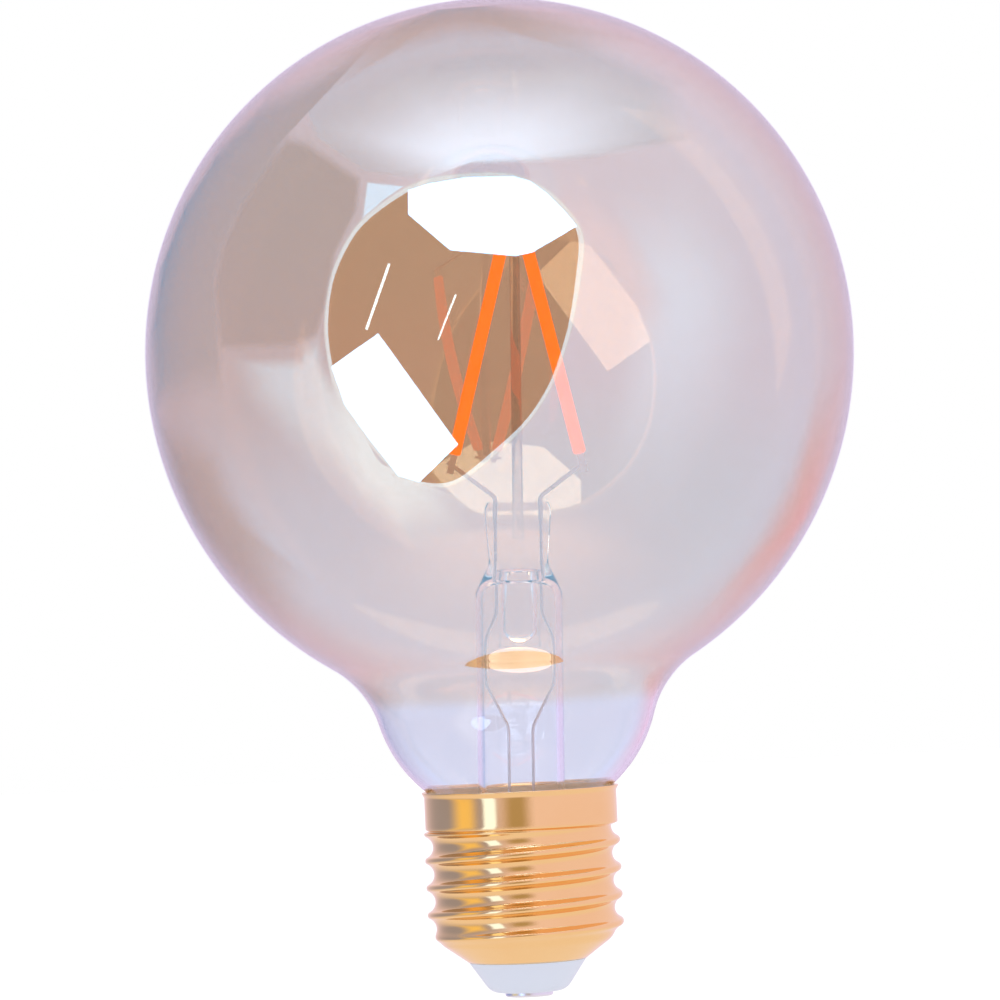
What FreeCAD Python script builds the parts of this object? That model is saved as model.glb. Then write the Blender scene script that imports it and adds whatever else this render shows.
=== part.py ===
import FreeCAD, Part
import math
import os

V = FreeCAD.Vector
up = V(0, 0, 1)

# Globe and neck glass, all sizes in millimetres
globe_diameter = 95.0
globe_above_cap = 58.4
glass_wall = 0.8
cup_radius = 19.3
waist_radius = 17.5
neck_fillet = 2.5
seal_depth = 7.0

# Screw shell
cap_height = 27.7
cap_wall = 0.3
thread_diameter = 26.2
thread_pitch = 3.629
thread_depth = 1.12
thread_first_crest = 9.1
thread_start_angle = -38.0
crest_land = 0.7
root_land = 0.2
ridge_sink = 0.12
ridge_base = 0.9
ridge_end_wall = 0.6
seam_before_end = 30.0
collar_height = 4.2
collar_step = 0.23
collar_ramp = 0.9
lip_height = 0.8
lip_flare = 0.3
shoulder_slope = 36.0
shoulder_round = 2.4

# Insulator and centre contact
insulator_height = 4.75
insulator_top_diameter = 15.7
insulator_foot_diameter = 10.0
insulator_foot_round = 1.2
insulator_floor = 3.6
insulator_wall = 1.3
shell_ledge = 0.35
cup_depth = 6.9
contact_diameter = 6.4
contact_thickness = 0.6
rivet_diameter = 3.0
rivet_floor = 1.5

# Stem glass
stem_lean = 1.9
stem_wall = 0.9
stem_tube_height = 33.3
press_height = 12.0
press_waist_height = 3.8
press_thickness = 4.4
press_waist_thickness = 5.4
press_side = 1.2
press_waist_side = 0.65
press_edge = 0.6
dome_drop = 0.8
exhaust_diameter = 5.6
exhaust_wall = 0.9
exhaust_seat = 1.2
exhaust_length = 11.5
tip_diameter = 8.4
tip_height = 2.8
port_diameter = 2.0
port_height = 4.0
port_end = 0.4
pillar_diameter = 1.4
pillar_seat = 5.0
pillar_above_filament = 0.5

# Light bars and their metal ends
filament_length = 29.6
filament_width = 1.7
filament_thickness = 1.1
filament_edge = 0.4
filament_angle = 13.6
filament_top_spacing = 2.9
filament_top_height = 35.2
terminal_length = 2.6
weld_share = 0.55
weld_overrun = 0.7

# Wires
anchor_diameter = 0.5
anchor_seat = 2.5
anchor_bend = 0.6
anchor_overhang = 0.3
inner_lead_diameter = 0.6
inner_lead_rise = 0.7
inner_lead_bend = 1.0
inner_lead_seat = 2.5
seal_wire_diameter = 0.4
seal_wire_length = 4.7
outer_lead_diameter = 0.4
outer_lead_bend = 4.0
outer_lead_spacing = 3.2
outer_lead_gather = 9.0
outer_lead_tail = 0.4

# Driver in the cap
board_thickness = 1.2
capacitor_diameter = 5.0
capacitor_length = 9.0
capacitor_edge = 0.4
rectifier_size = V(4.7, 3.8, 1.5)
regulator_size = V(4.9, 3.9, 1.4)
chip_back = 3.4
fuse_diameter = 2.4
fuse_length = 4.6
fuse_lead_diameter = 0.6
fuse_edge = 0.5
shell_wire_diameter = 0.5
shell_wire_bend = 1.0
shell_wire_inset = 1.5

# Clearances
rim_gap = 0.25
neck_clearance = 0.38
ledge_clearance = 0.1
board_clearance = 0.1
lead_clearance = 0.15
hole_clearance = 0.1
filament_clearance = 0.15
chip_clearance = 0.8
cement_clearance = 0.02
cement_below_rim = 0.35

# Cap radii and heights that follow from the sizes above
thread_crest = thread_diameter / 2
thread_root = thread_crest - thread_depth
knuckle_radius = (thread_pitch ** 2 / 4 + thread_depth ** 2) / (4 * thread_depth)
collar_radius = thread_crest - collar_step
collar_start = cap_height - collar_height
thread_rise = collar_start - thread_first_crest
seam_angle = thread_start_angle + 360 * thread_rise / thread_pitch - seam_before_end
shell_foot = insulator_top_diameter / 2
ledge_z = insulator_height + cup_depth
board_top = ledge_z + board_thickness
cup_outer = thread_root - cap_wall - 2 * neck_clearance
board_radius = cup_outer - insulator_wall / 2 - board_clearance

# Glass radii and heights that follow
globe_radius = globe_diameter / 2
globe_z = cap_height + globe_above_cap
overall_length = globe_z + globe_radius
mouth_radius = collar_radius - cap_wall + lip_flare - rim_gap
cup_z = cap_height + math.sqrt(cup_radius ** 2 - mouth_radius ** 2)
neck_radius = thread_root - cap_wall - neck_clearance
seal_z = cap_height - seal_depth
flare_bottom = seal_z - stem_wall

# Stem radii and heights that follow
exhaust_radius = exhaust_diameter / 2
tip_radius = tip_diameter / 2
stem_bore = tip_radius + 2 * lead_clearance + outer_lead_diameter
stem_radius = stem_bore + stem_wall
shoulder_z = seal_z + stem_tube_height
press_top = shoulder_z + press_height
dome_z = shoulder_z - dome_drop
dome_top = dome_z + stem_bore - exhaust_radius
exhaust_top = dome_top + exhaust_seat
tip_z = exhaust_top - exhaust_length

# Filament and lead places that follow
filament_y = -(pillar_diameter / 2 + filament_clearance + filament_thickness / 2)
terminal_width = filament_width - 2 * filament_edge
terminal_thickness = filament_thickness - 2 * filament_edge
lead_y = filament_y + terminal_thickness / 2 + inner_lead_diameter / 2
lead_ring = exhaust_radius + lead_clearance + outer_lead_diameter / 2
lead_x = math.sqrt(lead_ring ** 2 - lead_y ** 2)
filament_top = press_top + filament_top_height
filament_turn = math.radians(filament_angle)
pillar_top = filament_top + pillar_above_filament
seal_wire_top = press_top - inner_lead_seat
seal_wire_bottom = seal_wire_top - seal_wire_length


def at(x, z):
    return V(x, 0, z)


def line(start, end):
    return Part.LineSegment(start, end).toShape()


# The shorter arc about a centre from one point to another
def arc(centre, start, end):
    middle = (start + end) * 0.5 - centre
    middle.normalize()
    return Part.Arc(start, centre + middle * (start - centre).Length, end).toShape()


# Curve that leaves one side of a corner and arrives along the other
def eased(start, corner, end):
    curve = Part.BezierCurve()
    curve.setPoles([start, corner, end])
    return curve.toShape()


# Straight edges through a list of points
def run(*points):
    return [line(a, b) for a, b in zip(points, points[1:])]


# A closed half profile turned about the axis
def turned(edges):
    return Part.Face(Part.Wire(edges)).revolve(V(0, 0, 0), up, 360)


def rod(diameter, bottom, top, x=0.0, y=0.0):
    return Part.makeCylinder(diameter / 2, top - bottom, V(x, y, bottom))


def lowest_edge(shape):
    return min(shape.Edges, key=lambda edge: edge.CenterOfMass.z)


def highest_edge(shape):
    return max(shape.Edges, key=lambda edge: edge.CenterOfMass.z)


# Round wire along straight runs with a tangent arc at each inner point
def bent_wire(points, diameter, bend):
    edges = []
    start = points[0]
    for before, corner, after in zip(points, points[1:], points[2:]):
        back = (before - corner).normalize()
        ahead = (after - corner).normalize()
        half_turn = (math.pi - back.getAngle(ahead)) / 2
        reach = bend * math.tan(half_turn)
        inward = (back + ahead).normalize()
        centre = corner + inward * (bend / math.cos(half_turn))
        edges.append(line(start, corner + back * reach))
        edges.append(arc(centre, corner + back * reach, corner + ahead * reach))
        start = corner + ahead * reach
    edges.append(line(start, points[-1]))
    section = Part.Circle(points[0], points[1] - points[0], diameter / 2).toShape()
    return Part.Wire(edges).makePipeShell([Part.Wire(section)], True, False)


# The stem and all it carries lean about the middle of the neck seal
def leaned(shape):
    return shape.rotated(at(0, seal_z), V(0, 1, 0), stem_lean)


def leaned_point(point):
    pivot = at(0, seal_z)
    return pivot + FreeCAD.Rotation(V(0, 1, 0), stem_lean).multVec(point - pivot)


# Point on the ray from one centre to another at a given distance
def towards(centre, other, distance):
    ray = (other - centre).normalize()
    return centre + ray * distance


# Glass outline moved inwards by offset: globe arc, hollow waist, rounded cup, fillet and straight neck
def glass_solid(offset, bottom):
    globe = at(0, globe_z)
    cup = at(0, cup_z)
    to_globe = globe_radius + waist_radius
    to_cup = cup_radius + waist_radius
    waist_z = (globe_z ** 2 - cup_z ** 2 - to_globe ** 2 + to_cup ** 2) / (2 * (globe_z - cup_z))
    waist = at(math.sqrt(to_cup ** 2 - (waist_z - cup_z) ** 2), waist_z)
    fillet_x = neck_radius + neck_fillet
    fillet = at(fillet_x, cup_z - math.sqrt((cup_radius + neck_fillet) ** 2 - fillet_x ** 2))
    top = at(0, overall_length - offset)
    globe_end = towards(globe, waist, globe_radius - offset)
    cup_start = towards(cup, waist, cup_radius - offset)
    cup_end = towards(cup, fillet, cup_radius - offset)
    neck_top = at(neck_radius - offset, fillet.z)
    neck_end = at(neck_radius - offset, bottom)
    axis_end = at(0, bottom)
    edges = [
        arc(globe, top, globe_end),
        arc(waist, globe_end, cup_start),
        arc(cup, cup_start, cup_end),
        arc(fillet, cup_end, neck_top),
    ]
    return turned(edges + run(neck_top, neck_end, axis_end, top))


# Hollow globe, trimmed where the leaning foot of the stem is melted on
def glass_envelope():
    hollow = glass_solid(0, flare_bottom).cut(glass_solid(glass_wall, flare_bottom - stem_wall))
    below = rod(globe_diameter, flare_bottom - neck_radius, seal_z)
    return hollow.cut(leaned(below))


# Level ellipse for the press, wide across the leads
def press_section(half_width, half_thickness, z):
    return Part.Wire(Part.Ellipse(at(0, z), half_width, half_thickness).toShape())


# Stem tube with its trumpet foot, closed by the flattened press
def stem_flare():
    rim_in = neck_radius - glass_wall
    foot_z = seal_z + rim_in - stem_radius
    foot = at(rim_in, foot_z)
    outside = run(at(0, shoulder_z), at(0, flare_bottom), at(neck_radius, flare_bottom))
    outside += run(at(neck_radius, flare_bottom), at(neck_radius, seal_z), at(rim_in, seal_z))
    outside.append(arc(foot, at(rim_in, seal_z), at(stem_radius, foot_z)))
    outside += run(at(stem_radius, foot_z), at(stem_radius, shoulder_z), at(0, shoulder_z))

    inside = run(at(0, exhaust_top), at(0, flare_bottom), at(rim_in, flare_bottom))
    inside.append(arc(foot, at(rim_in, flare_bottom), at(stem_bore, foot_z)))
    inside += run(at(stem_bore, foot_z), at(stem_bore, dome_z))
    inside.append(arc(at(exhaust_radius, dome_z), at(stem_bore, dome_z), at(exhaust_radius, dome_top)))
    inside += run(at(exhaust_radius, dome_top), at(exhaust_radius, exhaust_top), at(0, exhaust_top))

    waist_z = shoulder_z + press_waist_height
    waist_width = lead_x + inner_lead_diameter / 2 + press_waist_side
    top_width = lead_x + inner_lead_diameter / 2 + press_side
    half_thickness = press_thickness / 2
    press = Part.makeLoft([
        press_section(stem_radius, stem_radius, shoulder_z),
        press_section((stem_radius + waist_width) / 2, (stem_radius + half_thickness) / 2,
                      (shoulder_z + waist_z) / 2),
        press_section(waist_width, press_waist_thickness / 2, waist_z),
        press_section((waist_width + top_width) / 2, half_thickness, (waist_z + press_top) / 2),
        press_section(top_width, half_thickness, press_top - press_edge),
        press_section(top_width - press_edge, half_thickness - press_edge, press_top),
    ], True, False)
    return turned(outside).fuse(press).cut(turned(inside)).removeSplitter()


# Bore from the pumping tube to the front of the press, through which the bulb was filled
def exhaust_port():
    bore = exhaust_diameter - 2 * exhaust_wall
    port_z = shoulder_z + port_height
    upright = rod(bore, exhaust_top, port_z + port_end)
    across = Part.makeCylinder(port_diameter / 2, stem_radius, at(0, port_z), V(0, -1, 0))
    return upright.fuse(across)


# Pumping tube whose melted end is a flattened drop
def exhaust_tube():
    bore = exhaust_radius - exhaust_wall
    drop = Part.makeSphere(tip_radius)
    squash = FreeCAD.Matrix()
    squash.scale(1, 1, tip_height / tip_diameter)
    drop = drop.transformGeometry(squash)
    drop.translate(at(0, tip_z))
    tube = rod(exhaust_diameter, tip_z, exhaust_top)
    round_z = tip_z + tip_height / 2 + bore
    hollow = rod(2 * bore, round_z, exhaust_top).fuse(Part.makeSphere(bore, at(0, round_z)))
    return tube.fuse(drop).cut(hollow).removeSplitter()


# Glass rod with a melted round top
def glass_pillar():
    radius = pillar_diameter / 2
    straight = rod(pillar_diameter, press_top - pillar_seat, pillar_top - radius)
    return straight.fuse(Part.makeSphere(radius, at(0, pillar_top - radius))).removeSplitter()


# Wire T: a root in the pillar that bends forward to a bar behind the two upper terminals
def top_anchor():
    rise = weld_share * terminal_length
    bar_z = filament_top + rise * math.cos(filament_turn)
    bar_y = filament_y + terminal_thickness / 2 + anchor_diameter / 2
    reach = filament_top_spacing / 2 + terminal_width / 2 + anchor_overhang
    root = bent_wire([at(0, pillar_top - anchor_seat), at(0, bar_z), V(0, bar_y, bar_z)],
                     anchor_diameter, anchor_bend)
    bar = Part.makeCylinder(anchor_diameter / 2, 2 * reach, V(-reach, bar_y, bar_z), V(1, 0, 0))
    return root.fuse(bar).removeSplitter()


# A bar along the light bar's own line, from one distance below its top end to another
def along_filament(side, width, thickness, start, end, edge=0.0):
    bar = Part.makeBox(width, thickness, end - start, V(-width / 2, -thickness / 2, -end))
    if edge:
        bar = bar.makeFillet(edge, bar.Edges)
    bar.rotate(V(0, 0, 0), V(0, 1, 0), -side * filament_angle)
    bar.translate(V(side * filament_top_spacing / 2, filament_y, filament_top))
    return bar


def filament(side):
    return along_filament(side, filament_width, filament_thickness, 0, filament_length, filament_edge)


def upper_terminal(side):
    return along_filament(side, terminal_width, terminal_thickness, -terminal_length, 0)


def lower_terminal(side):
    return along_filament(side, terminal_width, terminal_thickness,
                          filament_length, filament_length + terminal_length)


# Support wire from the press to the back of the lower terminal
def inner_lead(side):
    drop = filament_length + weld_share * terminal_length
    weld = V(side * (filament_top_spacing / 2 + drop * math.sin(filament_turn)), lead_y,
             filament_top - drop * math.cos(filament_turn))
    corner = V(side * lead_x, lead_y, press_top + inner_lead_rise)
    end = towards(corner, weld, (weld - corner).Length + weld_overrun)
    foot = V(side * lead_x, lead_y, seal_wire_top)
    return bent_wire([foot, corner, end], inner_lead_diameter, inner_lead_bend)


def seal_wire(side):
    return rod(seal_wire_diameter, seal_wire_bottom, seal_wire_top, side * lead_x, lead_y)


# Thin wire that passes the tip of the pumping tube and gathers towards the board
def outer_lead(side):
    tip_ring = tip_radius + lead_clearance + outer_lead_diameter / 2
    tip_x = math.sqrt(tip_ring ** 2 - lead_y ** 2)
    low_x = outer_lead_spacing / 2
    half_pass = tip_height
    stations = [
        (lead_x, seal_wire_bottom),
        (lead_x, tip_z + outer_lead_gather - half_pass),
        (tip_x, tip_z + half_pass),
        (tip_x, tip_z - half_pass),
        (low_x, tip_z - outer_lead_gather),
        (low_x, ledge_z - outer_lead_tail),
    ]
    route = [V(side * x, lead_y, z) for x, z in stations]
    return bent_wire(route, outer_lead_diameter, outer_lead_bend)


# Plain shell moved inwards by offset, with its closing line just before the thread runs out
def shell_solid(offset):
    slope = math.radians(shoulder_slope)
    root = thread_root - offset
    foot = shell_foot - offset
    collar = collar_radius - offset
    turn = shoulder_round - offset
    along = thread_root - shoulder_round + shoulder_round * math.sin(slope) - shell_foot
    round_z = insulator_height + along * math.tan(slope) + shoulder_round * math.cos(slope)
    centre = at(thread_root - shoulder_round, round_z)
    bend = centre + at(math.sin(slope), -math.cos(slope)) * turn
    edges = run(at(0, cap_height), at(0, insulator_height), at(foot, insulator_height), bend)
    edges.append(arc(centre, bend, at(root, round_z)))
    edges += run(at(root, round_z), at(root, collar_start), at(collar, collar_start + collar_ramp),
                 at(collar, cap_height - lip_height), at(collar + lip_flare, cap_height), at(0, cap_height))
    return turned(edges).rotated(V(0, 0, 0), up, seam_angle)


# Section of the round-thread ridge, drawn with flats: its corners as radius and height from the crest
def ridge_corners(offset):
    half = thread_pitch / 2
    narrower = offset * math.sin(math.atan2(thread_depth, half / 2))
    shoulder = (half + crest_land) / 4
    shoulder_drop = knuckle_radius - math.sqrt(knuckle_radius ** 2 - shoulder ** 2)
    foot = half - root_land / 2
    upper = [
        (thread_root - ridge_base, foot),
        (thread_root - ridge_sink, foot),
        (thread_crest - thread_depth / 2, half / 2),
        (thread_crest - shoulder_drop, shoulder),
        (thread_crest, crest_land / 2),
    ]
    upper = [(radius - offset, height - narrower) for radius, height in upper]
    return upper + [(radius, -height) for radius, height in reversed(upper)]


# Right-hand ridge swept up a helix from above the shoulder to the foot of the collar, less an end wall
def thread_ridge(offset, end_wall):
    lag = end_wall / (2 * math.pi * thread_root)
    start = thread_first_crest + lag * thread_pitch
    rise = thread_rise - 2 * lag * thread_pitch
    corners = [at(radius, start + height) for radius, height in ridge_corners(offset)]
    helix = Part.makeHelix(thread_pitch, rise, thread_root)
    helix.translate(at(0, start))
    section = Part.Wire(run(*corners, corners[0]))
    ridge = Part.Wire(helix.Edges).makePipeShell([section], True, True)
    ridge.rotate(V(0, 0, 0), up, thread_start_angle + 360 * lag)
    return ridge


# Rolled sheet shell: the thread stands out of it and is hollow inside
def cap_shell():
    outside = shell_solid(0).fuse(thread_ridge(0, 0))
    inside = shell_solid(cap_wall).fuse(thread_ridge(cap_wall, ridge_end_wall))
    return outside.cut(inside)


# White cone below the shell, carrying a cup inside it with a rebate for the board
def cap_insulator():
    foot = insulator_foot_diameter / 2
    inner = shell_foot - cap_wall - ledge_clearance
    step = insulator_height + shell_ledge
    outer_z = insulator_height + cup_outer - inner
    cup_inner = cup_outer - insulator_wall
    seat = board_radius + board_clearance
    base = contact_thickness
    cone = at(shell_foot - foot, insulator_height - base).normalize()
    flat = at(foot - insulator_foot_round, base)
    side = at(foot, base) + cone * insulator_foot_round
    edges = run(at(0, base), flat)
    edges.append(eased(flat, at(foot, base), side))
    edges += run(side, at(shell_foot, insulator_height), at(inner, insulator_height), at(inner, step),
                 at(cup_outer, outer_z + shell_ledge), at(cup_outer, board_top), at(seat, board_top),
                 at(seat, ledge_z), at(cup_inner, ledge_z), at(cup_inner, outer_z + insulator_wall),
                 at(inner - insulator_wall, base + insulator_floor), at(0, base + insulator_floor),
                 at(0, base))
    return turned(edges).cut(rod(rivet_diameter, 0, base + insulator_floor))


# Rivet whose head is the lowest face of the bulb
def centre_contact():
    top = contact_thickness + insulator_floor
    head = rod(contact_diameter, 0, contact_thickness)
    head = head.makeFillet(contact_thickness / 2, [lowest_edge(head)])
    shank = rod(rivet_diameter, contact_thickness, top)
    lead_hole = rod(fuse_lead_diameter + 2 * hole_clearance, rivet_floor, top)
    return head.fuse(shank).cut(lead_hole).removeSplitter()


# Ring that fills the space between neck and collar
def cap_cement():
    ring = rod(2 * (collar_radius - cap_wall - cement_clearance), collar_start + collar_ramp,
               cap_height - cement_below_rim)
    return ring.cut(glass_solid(0, flare_bottom))


# Height of the thread root that stands over the shell wire, at the back of the shell
def shell_wire_z():
    turns = (90.0 - thread_start_angle) / 360.0
    first_root = thread_first_crest + thread_pitch * (turns + 0.5)
    above = board_top + shell_wire_bend + shell_wire_diameter
    return first_root + thread_pitch * math.ceil((above - first_root) / thread_pitch)


def shell_wire():
    foot_y = board_radius - shell_wire_inset
    z = shell_wire_z()
    end_y = thread_root - cap_wall - hole_clearance
    route = [V(0, foot_y, ledge_z), V(0, foot_y, z), V(0, end_y, z)]
    return bent_wire(route, shell_wire_diameter, shell_wire_bend)


# Round board in the rebate, bored for the wires that pass through it
def driver_board():
    board = rod(2 * board_radius, ledge_z, board_top)
    middle = (ledge_z + board_top) / 2
    for side in (-1, 1):
        place = leaned_point(V(side * outer_lead_spacing / 2, lead_y, middle))
        hole = rod(outer_lead_diameter + 2 * hole_clearance, ledge_z, board_top, place.x, place.y)
        board = board.cut(hole)
    board = board.cut(rod(fuse_lead_diameter + 2 * hole_clearance, ledge_z, board_top))
    wire_y = board_radius - shell_wire_inset
    return board.cut(rod(shell_wire_diameter + 2 * hole_clearance, ledge_z, board_top, 0, wire_y))


# Can that stands behind the leads
def smoothing_capacitor():
    y = lead_y + outer_lead_diameter / 2 + 2 * lead_clearance + capacitor_diameter / 2
    can = rod(capacitor_diameter, board_top, board_top + capacitor_length, 0, y)
    return can.makeFillet(capacitor_edge, [highest_edge(can)])


# Flat moulded chip beside the leads, in front of the board's middle
def chip(side, size):
    x = side * (outer_lead_spacing / 2 + chip_clearance + size.x / 2)
    corner = V(x - size.x / 2, -chip_back - size.y / 2, board_top)
    return Part.makeBox(size.x, size.y, size.z, corner)


# Upright resistor between the rivet and the board, with a lead at each end
def fuse_resistor():
    middle = (contact_thickness + insulator_floor + ledge_z) / 2
    body = rod(fuse_diameter, middle - fuse_length / 2, middle + fuse_length / 2)
    body = body.makeFillet(fuse_edge, [lowest_edge(body), highest_edge(body)])
    return body.fuse(rod(fuse_lead_diameter, rivet_floor, board_top)).removeSplitter()


def build():
    parts = {}
    press_holes = [exhaust_port(), rod(pillar_diameter, press_top - pillar_seat, press_top)]
    for side, name in ((-1, "left"), (1, "right")):
        parts["filament_" + name] = leaned(filament(side))
        parts["upper_terminal_" + name] = leaned(upper_terminal(side))
        parts["lower_terminal_" + name] = leaned(lower_terminal(side))
        parts["inner_lead_" + name] = leaned(inner_lead(side))
        parts["seal_wire_" + name] = leaned(seal_wire(side))
        parts["outer_lead_" + name] = leaned(outer_lead(side))
        x = side * lead_x
        press_holes.append(rod(inner_lead_diameter, seal_wire_top, press_top, x, lead_y))
        press_holes.append(rod(seal_wire_diameter, seal_wire_bottom, seal_wire_top, x, lead_y))
        press_holes.append(rod(outer_lead_diameter, dome_z, seal_wire_bottom, x, lead_y))

    stem = stem_flare()
    for hole in press_holes:
        stem = stem.cut(hole)
    anchor_hole = rod(anchor_diameter, pillar_top - anchor_seat, pillar_top)

    parts["stem_flare"] = leaned(stem)
    parts["exhaust_tube"] = leaned(exhaust_tube())
    parts["glass_pillar"] = leaned(glass_pillar().cut(anchor_hole))
    parts["top_anchor"] = leaned(top_anchor())
    parts["glass_envelope"] = glass_envelope()
    parts["cap_cement"] = cap_cement()
    parts["cap_shell"] = cap_shell()
    parts["cap_insulator"] = cap_insulator()
    parts["centre_contact"] = centre_contact()
    parts["driver_board"] = driver_board()
    parts["smoothing_capacitor"] = smoothing_capacitor()
    parts["bridge_rectifier"] = chip(1, rectifier_size)
    parts["current_regulator"] = chip(-1, regulator_size)
    parts["fuse_resistor"] = fuse_resistor()
    parts["shell_wire"] = shell_wire()
    return parts


os.makedirs("parts", exist_ok=True)
for node, shape in sorted(build().items()):
    print(node, "solids", len(shape.Solids), "valid", shape.isValid(), "volume", round(shape.Volume, 2))
    shape.exportStep("parts/" + node + ".step")
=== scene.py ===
import bpy
import bmesh
import numpy as np
from mathutils import Matrix, Vector


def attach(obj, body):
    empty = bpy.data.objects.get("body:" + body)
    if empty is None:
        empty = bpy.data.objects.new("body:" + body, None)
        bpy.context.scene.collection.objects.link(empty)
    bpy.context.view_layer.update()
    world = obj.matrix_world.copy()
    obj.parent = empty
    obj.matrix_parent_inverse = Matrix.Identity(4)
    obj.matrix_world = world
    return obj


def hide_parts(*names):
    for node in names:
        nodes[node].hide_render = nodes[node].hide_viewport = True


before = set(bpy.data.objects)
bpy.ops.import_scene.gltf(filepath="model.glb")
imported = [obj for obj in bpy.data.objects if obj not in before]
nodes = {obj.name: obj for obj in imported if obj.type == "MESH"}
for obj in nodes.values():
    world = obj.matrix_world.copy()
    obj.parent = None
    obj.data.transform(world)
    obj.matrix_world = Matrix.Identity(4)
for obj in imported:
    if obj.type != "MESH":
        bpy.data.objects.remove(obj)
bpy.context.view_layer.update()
mm = 0.001
print("frame loaded with", len(nodes), "pieces")

# metres and degrees: points closer than a gap become one, and a solid's edge sharper than the angle stays hard
meshWork = dict(mergeGap=1e-7, weldGap=1e-6, hardEdge=35.0)


def addObject(name, mesh):
    added = bpy.data.objects.new(name, mesh)
    bpy.context.scene.collection.objects.link(added)
    return added


# four-sided faces between the neighbours of a grid of points in millimetres, whose rows close into rings
def ringMesh(name, grid):
    rows, columns = grid.shape[:2]
    index = np.arange(rows * columns).reshape(rows, columns)
    beside = np.roll(index, -1, axis=1)
    faces = np.stack([index[:-1], index[1:], beside[1:], beside[:-1]], axis=-1).reshape(-1, 4)
    mesh = bpy.data.meshes.new(name)
    mesh.from_pydata((grid.reshape(-1, 3) * mm).tolist(), [], faces.tolist())
    return mesh


# a piece of the lamp from such a grid: its rows run along the profile, and points that meet are merged
def addPiece(name, grid, material):
    mesh = ringMesh(name, grid)
    work = bmesh.new()
    work.from_mesh(mesh)
    bmesh.ops.remove_doubles(work, verts=work.verts, dist=meshWork["mergeGap"])
    bmesh.ops.dissolve_degenerate(work, edges=work.edges, dist=meshWork["mergeGap"])
    work.to_mesh(mesh)
    work.free()
    mesh.shade_smooth()
    mesh.materials.append(material)
    return addObject(name, mesh)


# points (radius, height) of a profile carried round the axis
def lathe(profile, around):
    turn = np.linspace(0, 2 * np.pi, around, endpoint=False)
    radius, height = profile[:, :1], profile[:, 1:]
    return np.stack([radius * np.cos(turn), radius * np.sin(turn), height + 0 * turn], axis=-1)


# part of a circle about a centre, from one angle to another, in degrees up from level
def arcPoints(centre, radius, start, end, count):
    angle = np.radians(np.linspace(start, end, count))
    return np.stack([centre[0] + radius * np.cos(angle), centre[1] + radius * np.sin(angle)], axis=-1)


# even steps from a start, which is left out, to an end
def stepped(start, end, count):
    return np.linspace(start, end, count + 1)[1:]


# the stem and all it carries lean towards +X about the middle of the neck seal, degrees and millimetres
stemPose = dict(lean=1.9, pivot=20.7)


def leaned(grid):
    angle = np.radians(stemPose["lean"])
    x, y, z = grid[..., 0], grid[..., 1], grid[..., 2] - stemPose["pivot"]
    return np.stack([x * np.cos(angle) + z * np.sin(angle), y,
                     stemPose["pivot"] + z * np.cos(angle) - x * np.sin(angle)], axis=-1)


def addNode(tree, kind, **values):
    node = tree.nodes.new(kind)
    for name, value in values.items():
        setattr(node, name, value)
    return node


# a socket takes a plain value or the output of another node
def feed(tree, socket, value):
    if isinstance(value, bpy.types.NodeSocket):
        tree.links.new(value, socket)
    else:
        socket.default_value = value


def mathNode(tree, operation, *values):
    node = addNode(tree, "ShaderNodeMath", operation=operation)
    for socket, value in zip(node.inputs, values):
        feed(tree, socket, value)
    return node.outputs["Value"]


# how far a value lies between a start and an end, eased or straight, carried over to a low and a high
def spanShare(tree, value, start, end, low=0.0, high=1.0, easing="SMOOTHSTEP"):
    span = addNode(tree, "ShaderNodeMapRange", interpolation_type=easing)
    settings = {"Value": value, "From Min": start, "From Max": end, "To Min": low, "To Max": high}
    for name, setting in settings.items():
        feed(tree, span.inputs[name], setting)
    return span.outputs["Result"]


# two colours mixed by a share, each of them plain or the output of another node
def mixColour(tree, first, second, share):
    mix = addNode(tree, "ShaderNodeMix", data_type="RGBA")
    for name, colour in (("A", first), ("B", second)):
        feed(tree, mix.inputs[name], (*colour, 1) if isinstance(colour, tuple) else colour)
    tree.links.new(share, mix.inputs["Factor"])
    return mix.outputs["Result"]


# a shader group with float sockets that reads the piece's own coordinates
def newGroup(name, inputs, outputs):
    group = bpy.data.node_groups.new(name, "ShaderNodeTree")
    for socket, default in inputs.items():
        group.interface.new_socket(socket, in_out="INPUT", socket_type="NodeSocketFloat").default_value = default
    for socket in outputs:
        group.interface.new_socket(socket, in_out="OUTPUT", socket_type="NodeSocketFloat")
    place = addNode(group, "ShaderNodeTexCoord").outputs["Object"]
    return group, addNode(group, "NodeGroupInput").outputs, addNode(group, "NodeGroupOutput").inputs, place


# grain that several finishes share: fine and coarse noise, and the coarse one between a low and a high value;
# a bump made from the fine one is this deep, in millimetres
grainNoise = dict(fineDetail=3.0, coarseDetail=4.0, low=0.3, high=0.7, bumpDepth=0.05)


def makeGrainGroup():
    group, entry, leave, place = newGroup("surfaceGrain", {"Fine Scale": 900.0, "Coarse Scale": 60.0, "Low": 0.2,
                                                           "High": 0.4}, ("Fine", "Coarse", "Between"))
    for name, detail in (("Fine", grainNoise["fineDetail"]), ("Coarse", grainNoise["coarseDetail"])):
        noise = addNode(group, "ShaderNodeTexNoise")
        noise.inputs["Detail"].default_value = detail
        group.links.new(place, noise.inputs["Vector"])
        group.links.new(entry[name + " Scale"], noise.inputs["Scale"])
        group.links.new(noise.outputs["Fac"], leave[name])
    between = spanShare(group, noise.outputs["Fac"], grainNoise["low"], grainNoise["high"], entry["Low"],
                        entry["High"], "LINEAR")
    group.links.new(between, leave["Between"])
    return group


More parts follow.
